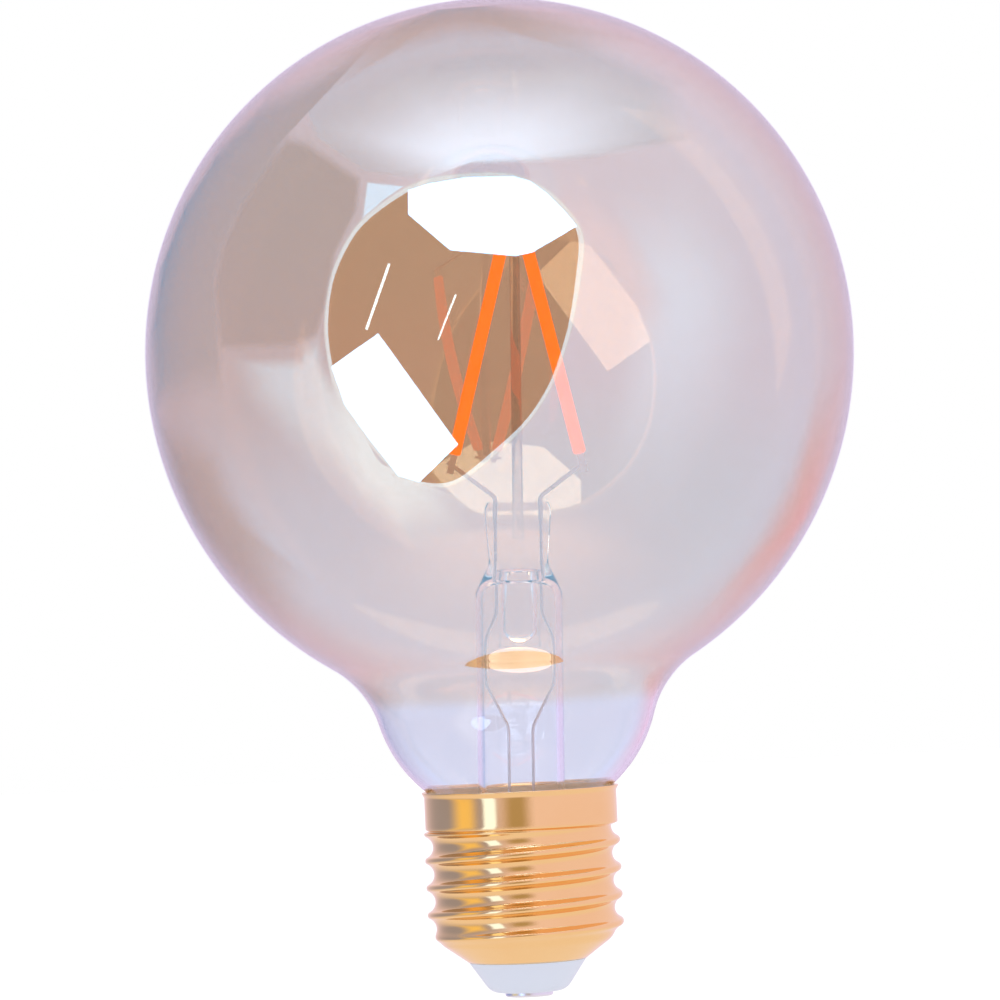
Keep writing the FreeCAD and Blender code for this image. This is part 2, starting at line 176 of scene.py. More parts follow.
# how far a height on the piece's own coordinates lies between a bottom and a top, eased
def makeFadeGroup():
    group, entry, leave, place = newGroup("coatFade", {"Bottom": 0.0, "Top": 0.0}, ("Fade",))
    parts = addNode(group, "ShaderNodeSeparateXYZ")
    group.links.new(place, parts.inputs["Vector"])
    group.links.new(spanShare(group, parts.outputs["Z"], entry["Bottom"], entry["Top"]), leave["Fade"])
    return group


grainGroup = makeGrainGroup()
fadeGroup = makeFadeGroup()


def newFinish(name):
    material = bpy.data.materials.new(name)
    material.use_nodes = True
    return material, material.node_tree, material.node_tree.nodes["Principled BSDF"]


# the grain group at a finish's own scale, and the finish's two colours mixed by its coarse noise
def grainColour(tree, look):
    grain = addNode(tree, "ShaderNodeGroup", node_tree=grainGroup)
    grain.inputs["Coarse Scale"].default_value = look["coarse"]
    return grain, mixColour(tree, look["colour"], look["second"], grain.outputs["Coarse"])


def fadeShare(tree, edge):
    fade = addNode(tree, "ShaderNodeGroup", node_tree=fadeGroup)
    fade.inputs["Bottom"].default_value = edge[0] * mm
    fade.inputs["Top"].default_value = edge[1] * mm
    return fade.outputs["Fade"]


# a finish of two colours with roughness and bump from the same grain, and a glow of its own colour where it has
# one: lamp light on the filament, painted light on every other part
def grainFinish(name, look):
    material, tree, shader = newFinish(name)
    grain, colour = grainColour(tree, look)
    grain.inputs["Fine Scale"].default_value = look["fine"]
    grain.inputs["Low"].default_value, grain.inputs["High"].default_value = look["rough"]
    bump = addNode(tree, "ShaderNodeBump")
    bump.inputs["Strength"].default_value = look["bump"]
    bump.inputs["Distance"].default_value = grainNoise["bumpDepth"] * mm
    tree.links.new(grain.outputs["Fine"], bump.inputs["Height"])
    tree.links.new(colour, shader.inputs["Base Color"])
    tree.links.new(grain.outputs["Between"], shader.inputs["Roughness"])
    tree.links.new(bump.outputs["Normal"], shader.inputs["Normal"])
    shader.inputs["Metallic"].default_value = look.get("metal", 0.0)
    if "glow" in look:
        tree.links.new(colour, shader.inputs["Emission Color"])
        shader.inputs["Emission Strength"].default_value = look["glow"]
    return material


# clear glass whose colour drifts a little with the coarse grain, and may fade to another below an edge
def glassFinish(name, look):
    material, tree, shader = newFinish(name)
    colour = grainColour(tree, look)[1]
    if "edge" in look:
        colour = mixColour(tree, look["below"], colour, fadeShare(tree, look["edge"]))
    tree.links.new(colour, shader.inputs["Base Color"])
    shader.inputs["Roughness"].default_value = 0.0
    shader.inputs["IOR"].default_value = look["ior"]
    shader.inputs["Transmission Weight"].default_value = 1.0
    return material


# thin mirror film that lets most light through and fades out below its edge
def filmFinish(name, look):
    material, tree, shader = newFinish(name)
    tree.links.new(grainColour(tree, look)[1], shader.inputs["Base Color"])
    cover = mathNode(tree, "MULTIPLY", fadeShare(tree, look["edge"]), look["cover"])
    tree.links.new(cover, shader.inputs["Alpha"])
    shader.inputs["Metallic"].default_value = 1.0
    shader.inputs["Roughness"].default_value = 0.0
    return material


# blown glass, millimetres: outline of globe arc, hollow waist, rounded cup, fillet and straight neck; below its
# middle the globe is a little fuller, an arc whose centre lies beyond the axis; the film's two walls and the glass
# under it are measured inwards, and the neck's lowest band is cut along the leaning seal
globeGlass = dict(globeRadius=47.5, globeHeight=86.1, fuller=1.2, wall=0.8, cupRadius=19.3, cupHeight=42.27,
                  waistRadius=13.0, filletRadius=2.5, neckRadius=11.3, film=(0.0, 0.06), under=0.12, filmEnd=37.5,
                  sealBand=0.5, around=160,
                  rows=dict(globe=60, lowGlobe=50, waist=60, cup=24, fillet=8, neck=10))
amberGlass = dict(colour=(0.99, 0.73, 0.54), second=(1.0, 0.76, 0.57), below=(0.945, 0.93, 0.957), coarse=25.0,
                  ior=1.5, edge=(38.4, 42.0))
mirrorFilm = dict(colour=(0.69, 0.95, 0.99), second=(0.72, 0.98, 1.0), coarse=30.0, cover=0.15, edge=(38.4, 42.0))


# middle of the hollow waist's circle, which touches the lower globe and the cup: a triangle of known sides
def waistMiddle():
    g = globeGlass
    lowGlobe, cup = np.array([-g["fuller"], g["globeHeight"]]), np.array([0.0, g["cupHeight"]])
    toGlobe = g["globeRadius"] + g["fuller"] + g["waistRadius"]
    toCup = g["cupRadius"] + g["waistRadius"]
    apart = np.linalg.norm(lowGlobe - cup)
    upwards = (lowGlobe - cup) / apart
    along = (toCup ** 2 - toGlobe ** 2 + apart ** 2) / (2 * apart)
    outwards = np.array([upwards[1], -upwards[0]])
    return cup + along * upwards + np.sqrt(toCup ** 2 - along ** 2) * outwards


# globe, waist, cup, fillet and neck as arcs that touch, each moved inwards along its own radius
def glassProfile(inward):
    g = globeGlass
    rows = g["rows"]
    waist = waistMiddle()
    filletX = g["neckRadius"] + g["filletRadius"]
    filletDrop = np.sqrt((g["cupRadius"] + g["filletRadius"]) ** 2 - filletX ** 2)
    fillet = np.array([filletX, g["cupHeight"] - filletDrop])
    globeEnd = np.degrees(np.arctan2(waist[1] - g["globeHeight"], waist[0] + g["fuller"]))
    cupStart = np.degrees(np.arctan2(waist[1] - g["cupHeight"], waist[0]))
    cupEnd = np.degrees(np.arctan2(fillet[1] - g["cupHeight"], fillet[0]))
    lowGlobe, lowRadius = (-g["fuller"], g["globeHeight"]), g["globeRadius"] + g["fuller"]
    neck = np.stack([np.full(rows["neck"], g["neckRadius"] - inward),
                     np.linspace(fillet[1], stemPose["pivot"], rows["neck"])], axis=-1)
    return np.concatenate([
        arcPoints((0, g["globeHeight"]), g["globeRadius"] - inward, 90, 0, rows["globe"]),
        arcPoints(lowGlobe, lowRadius - inward, 0, globeEnd, rows["lowGlobe"])[1:],
        arcPoints(waist, g["waistRadius"] + inward, globeEnd + 180, cupStart + 180, rows["waist"])[1:],
        arcPoints((0, g["cupHeight"]), g["cupRadius"] - inward, cupStart, cupEnd, rows["cup"])[1:],
        arcPoints(fillet, g["filletRadius"] + inward, cupEnd + 180, 180, rows["fillet"])[1:],
        neck[1:],
    ])


# the film lies on the glass from the top to just under the edge of its coat, a closed skin of two walls
def makeFilm():
    outside, inside = [glassProfile(inward) for inward in globeGlass["film"]]
    keep = outside[:, 1] > globeGlass["filmEnd"]
    profile = np.concatenate([outside[keep], inside[keep][::-1]])
    profile[[0, -1], 0] = 0.0
    piece = addPiece("globe_film", lathe(profile, globeGlass["around"]), filmFinish("mirrorFilm", mirrorFilm))
    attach(piece, "root")


# the glass is one profile down its outside and up its inside, turned round the axis and cut along the seal
def makeEnvelope():
    outside = glassProfile(globeGlass["under"])
    inside = glassProfile(globeGlass["wall"])[::-1]
    profile = np.concatenate([outside, inside])
    profile[[0, -1], 0] = 0.0
    grid = lathe(profile, globeGlass["around"])
    seal = stemPose["pivot"] - np.tan(np.radians(stemPose["lean"])) * grid[..., 0]
    low = profile[:, 1:] < stemPose["pivot"] + globeGlass["sealBand"]
    grid[..., 2] = np.where(low, np.maximum(grid[..., 2], seal), grid[..., 2])
    piece = addPiece("globe_glass", grid, glassFinish("amberGlass", amberGlass))
    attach(piece, "root")
    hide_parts("glass_envelope")


makeFilm()
makeEnvelope()
print("globe blown")

# rolled shell, millimetres and degrees: shoulder cone, round thread, collar and flared lip
screwShell = dict(wall=0.3, foot=7.85, bottom=4.75, slope=36.0, shoulderRound=2.4, root=11.98, crest=13.1,
                  pitch=3.629, firstCrest=9.1, startAngle=-38.0, crestArc=0.5, collarStart=22.3, collarRamp=0.5,
                  collar=12.87, lip=0.3, lipHeight=0.8, top=27.7, fadeIn=1.7, fadeOut=0.6, around=200,
                  rows=dict(cone=8, shoulder=10, barrel=130, ramp=8, collar=8, lip=8))
capGold = dict(colour=(0.94, 0.62, 0.28), second=(0.97, 0.68, 0.34), fine=2600.0, coarse=160.0, rough=(0.06, 0.13),
               bump=0.05, metal=1.0)


def eased(value):
    share = np.clip(value, 0, 1)
    return share * share * (3 - 2 * share)


# plain radius and height of the shell without its thread, from the foot up to the lip
def plainShell():
    s = screwShell
    rows = s["rows"]
    slope = np.radians(s["slope"])
    along = s["root"] - s["shoulderRound"] + s["shoulderRound"] * np.sin(slope) - s["foot"]
    roundZ = s["bottom"] + along * np.tan(slope) + s["shoulderRound"] * np.cos(slope)
    cone = np.stack([np.linspace(s["foot"], s["foot"] + along, rows["cone"]),
                     np.linspace(s["bottom"], s["bottom"] + along * np.tan(slope), rows["cone"])], axis=-1)
    shoulder = arcPoints((s["root"] - s["shoulderRound"], roundZ), s["shoulderRound"], s["slope"] - 90, 0,
                         rows["shoulder"])[1:]
    barrel = np.stack([np.full(rows["barrel"], s["root"]),
                       stepped(roundZ, s["collarStart"], rows["barrel"])], axis=-1)
    rampShare = stepped(0, 1, rows["ramp"])
    ramp = np.stack([s["root"] + (s["collar"] - s["root"]) * eased(rampShare),
                     s["collarStart"] + s["collarRamp"] * rampShare], axis=-1)
    collarTop = s["top"] - s["lipHeight"]
    collar = np.stack([np.full(rows["collar"], s["collar"]),
                       stepped(ramp[-1, 1], collarTop, rows["collar"])], axis=-1)
    lipShare = stepped(0, 1, rows["lip"])
    lip = np.stack([s["collar"] + s["lip"] * eased(lipShare), collarTop + s["lipHeight"] * lipShare], axis=-1)
    return np.concatenate([cone, shoulder, barrel, ramp, collar, lip])


# round thread: two tangent arcs, a tight one for the crest and a wide one for the root, by the distance from the
# nearest crest of the helix; the collar swallows the thread where it stands further out
def threadedShell(inward):
    s = screwShell
    profile = plainShell()
    radius, height = profile[:, :1], profile[:, 1:]
    turn = np.linspace(0, 2 * np.pi, s["around"], endpoint=False)
    depth = s["crest"] - s["root"]
    bothArcs = (s["pitch"] ** 2 / 4 + depth ** 2) / (2 * depth)
    rootArc = bothArcs - s["crestArc"]
    turns = (height - s["firstCrest"]) / s["pitch"] - (turn - np.radians(s["startAngle"])) / (2 * np.pi)
    away = np.abs(turns - np.round(turns)) * s["pitch"]
    crest = s["crest"] - s["crestArc"] + np.sqrt(np.maximum(s["crestArc"] ** 2 - away ** 2, 0))
    root = s["root"] + rootArc - np.sqrt(np.maximum(rootArc ** 2 - (s["pitch"] / 2 - away) ** 2, 0))
    rolled = np.where(away < s["pitch"] / 2 * s["crestArc"] / bothArcs, crest, root) - s["root"]
    fade = eased((height - s["firstCrest"] + s["fadeIn"]) / s["fadeIn"])
    fade = fade * eased((s["collarStart"] + s["collarRamp"] - height) / s["fadeOut"])
    full = np.maximum(np.minimum(radius, s["root"]) + fade * rolled, radius) - inward
    return np.stack([full * np.cos(turn), full * np.sin(turn), height + 0 * full], axis=-1)


# the sheet runs down its outside, up its inside and back over the lip
def makeShell():
    outside = threadedShell(0.0)[::-1]
    inside = threadedShell(screwShell["wall"])
    grid = np.concatenate([outside, inside, outside[:1]])
    piece = addPiece("screw_shell", grid, grainFinish("capGold", capGold))
    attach(piece, "root")
    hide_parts("cap_shell")


makeShell()
print("screw shell rolled")

# stem glass, millimetres: trumpet foot, tube, and the press as ellipses that narrow and widen, whose half widths
# and half depths are given at stations and blended over a reach
stemGlass = dict(tube=5.8, bore=4.9, foot=20.7, rim=10.5, neck=11.3, footWall=0.9, shoulder=54.0, top=66.0,
                 stations=(54.0, 55.9, 57.8, 61.6, 65.4, 66.0), widths=(5.8, 4.9, 3.95, 4.25, 4.5, 3.95),
                 depths=(5.8, 4.1, 2.7, 2.2, 2.2, 1.65), blend=0.6, blendSteps=13, domeStart=53.2, tubeSeat=2.82,
                 seatTop=56.5, around=96, rows=dict(trumpet=20, tube=24, press=70, dome=12))
stemClear = dict(colour=(0.99, 0.99, 0.995), second=(1.0, 1.0, 1.0), coarse=80.0, ior=1.2)


# half width and half depth of the outside at each height, the inside as a bore with a round dome
def makeStem():
    s = stemGlass
    rows = s["rows"]
    footZ = s["foot"] + s["rim"] - s["tube"]
    trumpet = arcPoints((s["rim"], footZ), s["rim"] - s["tube"], 180, 270, rows["trumpet"])[1:]
    tubeZ = np.linspace(s["shoulder"], footZ, rows["tube"])
    pressZ = np.linspace(s["top"], s["shoulder"], rows["press"])[:-1]
    near = pressZ + np.linspace(-s["blend"], s["blend"], s["blendSteps"])[:, None]
    wide, deep = [np.interp(near, s["stations"], s[name]).mean(0) for name in ("widths", "depths")]
    belowPress = np.concatenate([np.full(rows["tube"], s["tube"]), trumpet[:, 0], [s["neck"], s["neck"]]])
    outerZ = np.concatenate([[s["top"]], pressZ, tubeZ, trumpet[:, 1], [s["foot"], s["foot"] - s["footWall"]]])
    innerFoot = arcPoints((s["rim"], footZ), s["rim"] - s["bore"], 270, 180, rows["trumpet"])
    dome = arcPoints((s["tubeSeat"], s["domeStart"]), s["bore"] - s["tubeSeat"], 0, 90, rows["dome"])
    inner = np.concatenate([innerFoot, dome, [[s["tubeSeat"], s["seatTop"]], [0.0, s["seatTop"]]]])
    acrossX, acrossY = [np.concatenate([[0.0], press, belowPress, inner[:, 0]])[:, None] for press in (wide, deep)]
    turn = np.linspace(0, 2 * np.pi, s["around"], endpoint=False)
    level = np.concatenate([outerZ, inner[:, 1]])[:, None] + 0 * turn
    grid = np.stack([acrossX * np.cos(turn), acrossY * np.sin(turn), level], axis=-1)
    piece = addPiece("stem_glass", leaned(grid), glassFinish("stemClear", stemClear))
    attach(piece, "root")
    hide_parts("stem_flare")


makeStem()
print("stem drawn")

# pumping tube, millimetres, with the flattened drop at its melted end
pumpTube = dict(radius=2.8, bore=1.9, top=56.5, dropRadius=4.2, dropHalf=1.3, dropHeight=45.35, floor=0.6,
                seatGap=0.1, around=64, rows=dict(drop=48, tube=20, end=12))
tubeClear = dict(colour=(0.985, 0.985, 0.99), second=(1.0, 1.0, 1.0), coarse=90.0, ior=1.2)
# the drop's cream-gold colour and glow are a painted reflection of the brass cap's bright collar, not the glass's
# own colour
paintedCapReflection = dict(colour=(1.0, 0.84, 0.58), second=(1.0, 0.98, 0.92), fine=2000.0, coarse=420.0, rough=(0.2, 0.35),
                 bump=0.1, glow=1.0)


# one profile: the hollow from its round floor up, down the outside, in to the axis and round the drop, an ellipse;
# faces that lie lower than the drop's top take a painted reflection of the brass cap, cream-gold and glowing
def makePumpTube():
    p = pumpTube
    rows = p["rows"]
    swing = np.linspace(np.pi / 2, -np.pi / 2, rows["drop"])
    drop = np.stack([p["dropRadius"] * np.cos(swing), p["dropHeight"] + p["dropHalf"] * np.sin(swing)], axis=-1)
    drop[[0, -1], 0] = 0.0
    seat = drop[0, 1]
    outside = np.stack([np.full(rows["tube"], p["radius"]), np.linspace(p["top"], seat, rows["tube"])], axis=-1)
    hollow = arcPoints((0, seat + p["bore"] + p["floor"]), p["bore"], -90, 0, rows["end"])
    hollow[0, 0] = 0.0
    rise = np.array([[p["bore"], p["top"]]])
    profile = np.concatenate([hollow, rise, outside, drop])
    shell = addPiece("pump_tube", leaned(lathe(profile, p["around"])), glassFinish("tubeClear", tubeClear))
    shell.data.materials.append(grainFinish("paintedCapReflection", paintedCapReflection))
    centre = np.zeros(len(shell.data.polygons) * 3)
    shell.data.polygons.foreach_get("center", centre)
    # the drop's faces get the painted cap reflection
    low = centre.reshape(-1, 3)[:, 2] < (seat - p["seatGap"]) * mm
    shell.data.polygons.foreach_set("material_index", low.astype(np.int32))
    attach(shell, "root")
    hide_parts("exhaust_tube")


makePumpTube()
print("pumping tube sealed")

# finishes of the pieces that keep their own solid
pieceFinishes = {
    "lightBar": dict(colour=(1.0, 0.22, 0.022), second=(1.0, 0.27, 0.035), fine=3000.0, coarse=500.0,
                     rough=(0.45, 0.6), bump=0.25, glow=1.3),
    # the wires and strips glow a little: painted light, lifting them where the glass walls keep light from them
    "nickelWire": dict(colour=(0.86, 0.80, 0.76), second=(0.92, 0.86, 0.82), fine=4000.0, coarse=700.0,
                       rough=(0.25, 0.4), bump=0.1, metal=0.3, glow=0.2),
    "stripSteel": dict(colour=(0.90, 0.84, 0.78), second=(0.94, 0.88, 0.82), fine=4000.0, coarse=700.0,
                       rough=(0.25, 0.4), bump=0.1, metal=0.2, glow=0.25),
    "copperWire": dict(colour=(0.92, 0.82, 0.78), second=(0.95, 0.86, 0.82), fine=4000.0, coarse=500.0,
                       rough=(0.25, 0.4), bump=0.1, metal=0.3, glow=0.15),
    "boardBeige": dict(colour=(0.72, 0.70, 0.60), second=(0.80, 0.78, 0.68), fine=2500.0, coarse=260.0,
                       rough=(0.4, 0.55), bump=0.15),
    "chipBlack": dict(colour=(0.02, 0.02, 0.022), second=(0.035, 0.035, 0.037), fine=4000.0, coarse=300.0,
                      rough=(0.5, 0.65), bump=0.3),
    "canSleeve": dict(colour=(0.03, 0.035, 0.05), second=(0.045, 0.05, 0.065), fine=2500.0, coarse=200.0,
                      rough=(0.25, 0.35), bump=0.05),
    "resistorLacquer": dict(colour=(0.40, 0.22, 0.13), second=(0.48, 0.28, 0.17), fine=2500.0, coarse=300.0,
                            rough=(0.3, 0.45), bump=0.1),
    # the cement's glow is painted light, lifting it where the shell and neck keep light from it; its light tan is
    # partly its own colour and partly painted light
    "bakedCement": dict(colour=(0.80, 0.60, 0.38), second=(0.92, 0.74, 0.52), fine=1800.0, coarse=400.0,
                        rough=(0.7, 0.9), bump=0.6, glow=0.3),
    "whiteMoulding": dict(colour=(0.80, 0.85, 1.0), second=(0.84, 0.89, 1.0), fine=1500.0, coarse=120.0,
                          rough=(0.28, 0.4), bump=0.05),
    "rivetTin": dict(colour=(0.80, 0.82, 0.90), second=(0.87, 0.89, 0.96), fine=2500.0, coarse=220.0,
                     rough=(0.2, 0.35), bump=0.08, metal=1.0),
    "pillarGlass": dict(colour=(0.72, 0.63, 0.58), second=(0.76, 0.67, 0.62), below=(0.97, 0.97, 0.98),
                        coarse=120.0, ior=1.5, edge=(65.0, 66.4)),
}
pieceLooks = {
    "lightBar": ("filament_left", "filament_right"),
    "nickelWire": ("top_anchor", "inner_lead_left", "inner_lead_right"),
    "stripSteel": ("upper_terminal_left", "upper_terminal_right", "lower_terminal_left", "lower_terminal_right"),
    "copperWire": ("seal_wire_left", "seal_wire_right", "outer_lead_left", "outer_lead_right", "shell_wire"),
    "boardBeige": ("driver_board",),
    "chipBlack": ("bridge_rectifier", "current_regulator"),
    "canSleeve": ("smoothing_capacitor",),
    "resistorLacquer": ("fuse_resistor",),
    "bakedCement": ("cap_cement",),
    "whiteMoulding": ("cap_insulator",),
    "rivetTin": ("centre_contact",),
    "pillarGlass": ("glass_pillar",),
}


# a node keeps its mesh: its triangles are welded and shaded smooth by modifiers, and split at real edges
def dressNode(name, material):
    node = nodes[name]
    node.data.materials.clear()
    node.data.materials.append(material)
    node.data.shade_smooth()
    weld = node.modifiers.new("weld", "WELD")
    weld.merge_threshold = meshWork["weldGap"]
    split = node.modifiers.new("realEdges", "EDGE_SPLIT")
    split.split_angle = np.radians(meshWork["hardEdge"])


for finish, names in pieceLooks.items():
    look = pieceFinishes[finish]
    made = glassFinish(finish, look) if "ior" in look else grainFinish(finish, look)
    for name in names:
        dressNode(name, made)
print("solid pieces finished")

# camera, millimetres and degrees: level with the cap, looking slightly up, rolled so that the globe tips left; the
# field is as wide as the picture at the target, and places in the picture are given on a scale of 1000
cameraView = dict(target=(-0.85, 0.0, 66.4), distance=650.0, lookUp=1.5, roll=2.67, field=134.05, sensor=36.0,
                  near=10.0, pictureScale=1000)
lookUp, roll = np.radians(cameraView["lookUp"]), np.radians(cameraView["roll"])
ahead = np.array([0.0, np.cos(lookUp), np.sin(lookUp)])
levelUp = np.array([0.0, -np.sin(lookUp), np.cos(lookUp)])
pictureUp = np.cos(roll) * levelUp + np.sin(roll) * np.array([1.0, 0.0, 0.0])
pictureRight = np.cross(ahead, pictureUp)
eye = np.array(cameraView["target"]) - cameraView["distance"] * ahead

cameraData = bpy.data.cameras.new("camera")
cameraData.sensor_width = cameraView["sensor"]
cameraData.lens = cameraView["sensor"] * cameraView["distance"] / cameraView["field"]
cameraData.clip_start = cameraView["near"] * mm
camera = addObject("camera", cameraData)
turned = np.stack([pictureRight, pictureUp, -ahead], axis=1)
camera.matrix_world = Matrix.Translation(Vector(eye * mm)) @ Matrix(turned.tolist()).to_4x4()
bpy.context.scene.camera = camera
print("camera placed")


# a card stands where its outline shows in the globe: each place in the picture is followed from the camera to the
# globe, turned back as by a mirror, and carried out to the studio's round wall
def mirroredPlace(places, reach):
    middle = cameraView["pictureScale"] / 2
    scale = cameraView["field"] / cameraView["distance"] / cameraView["pictureScale"]
    rightwards, upwards = scale * (places[..., :1] - middle), scale * (middle - places[..., 1:])
    ray = ahead + rightwards * pictureRight + upwards * pictureUp
    ray = ray / np.linalg.norm(ray, axis=-1, keepdims=True)
    centre = np.array([0.0, 0.0, globeGlass["globeHeight"]])
    away = eye - centre
    half = (ray @ away)[..., None]
    inside = half ** 2 - (away @ away - globeGlass["globeRadius"] ** 2)
    hit = eye + ray * (-half - np.sqrt(np.maximum(inside, 0)))
    facing = (hit - centre) / globeGlass["globeRadius"]
    back = ray - 2 * np.sum(ray * facing, axis=-1, keepdims=True) * facing
    along = np.sum((hit - centre) * back, axis=-1, keepdims=True)
    gap = along ** 2 - (np.sum((hit - centre) ** 2, axis=-1, keepdims=True) - reach ** 2)
    return hit + back * (-along + np.sqrt(gap))


# points along each side of a card, rings from its middle out, the thinnest soft edge, the margin within which a
# ray is of the kind asked for, and the depth past which it has been reflected
cardWork = dict(sideSteps=8, rings=14, thinEdge=0.001, margin=0.1, anyDepth=0.5)


# a card glows only in reflections, sharp ones or those on metal; its edge may be soft, and rays that have passed
# glass see it weaker by the ghost's share
def cardFinish(name, card):
    material = bpy.data.materials.new(name)
    material.use_nodes = True
    tree = material.node_tree
    tree.nodes.clear()
    path = addNode(tree, "ShaderNodeLightPath").outputs
    fade = addNode(tree, "ShaderNodeAttribute", attribute_name="fade").outputs["Fac"]
    fullFrom = 1.0 - max(cardWork["thinEdge"], card.get("soft", 0.0))
    body = spanShare(tree, fade, 1.0, fullFrom, 0.0, card.get("cover", 1.0))
    asked = 0.0 if card.get("forMetal") else 1.0
    rightRay = mathNode(tree, "COMPARE", path["Is Singular Ray"], asked, cardWork["margin"])
    reflected = mathNode(tree, "GREATER_THAN", path["Glossy Depth"], cardWork["anyDepth"])
    throughGlass = spanShare(tree, path["Transmission Depth"], 0.0, 1.0, 1.0, card.get("ghost", 1.0), "LINEAR")
    seen = mathNode(tree, "MULTIPLY", mathNode(tree, "MULTIPLY", body, rightRay),
                    mathNode(tree, "MULTIPLY", reflected, throughGlass))
    glow = addNode(tree, "ShaderNodeEmission")
    glow.inputs["Color"].default_value = (*card["colour"], 1)
    mix = addNode(tree, "ShaderNodeMixShader")
    tree.links.new(seen, mix.inputs["Fac"])
    tree.links.new(addNode(tree, "ShaderNodeBsdfTransparent").outputs["BSDF"], mix.inputs[1])
    tree.links.new(glow.outputs["Emission"], mix.inputs[2])
    tree.links.new(mix.outputs["Shader"], addNode(tree, "ShaderNodeOutputMaterial").inputs["Surface"])
    return material


# the card is a fan from the middle of its outline; fade runs from 0 in the middle to 1 at the edge, and rounding
# is how often each point moves towards its two neighbours
def studioCard(name, card):
    corners = np.array(card["outline"], float)
    steps = np.linspace(0, 1, cardWork["sideSteps"], endpoint=False)[:, None]
    sides = corners[:, None] + steps * (np.roll(corners, -1, axis=0) - corners)[:, None]
    outline = sides.reshape(-1, 2)
    for _ in range(card.get("rounding", 0)):
        outline = (np.roll(outline, 1, axis=0) + 2 * outline + np.roll(outline, -1, axis=0)) / 4
    middle = np.array(card.get("middle", outline.mean(0)))
    fade = np.linspace(0, 1, cardWork["rings"])[:, None, None]
    mesh = ringMesh(name, mirroredPlace(middle + fade * (outline - middle), card["reach"]))
    values = np.repeat(fade[:, 0, 0], len(outline)).astype(np.float32)
    mesh.attributes.new("fade", "FLOAT", "POINT").data.foreach_set("value", values)
    mesh.materials.append(cardFinish(name, card))
    piece = addObject(name, mesh)
    for rays in ("camera", "diffuse", "volume_scatter", "shadow"):
        setattr(piece, "visible_" + rays, False)


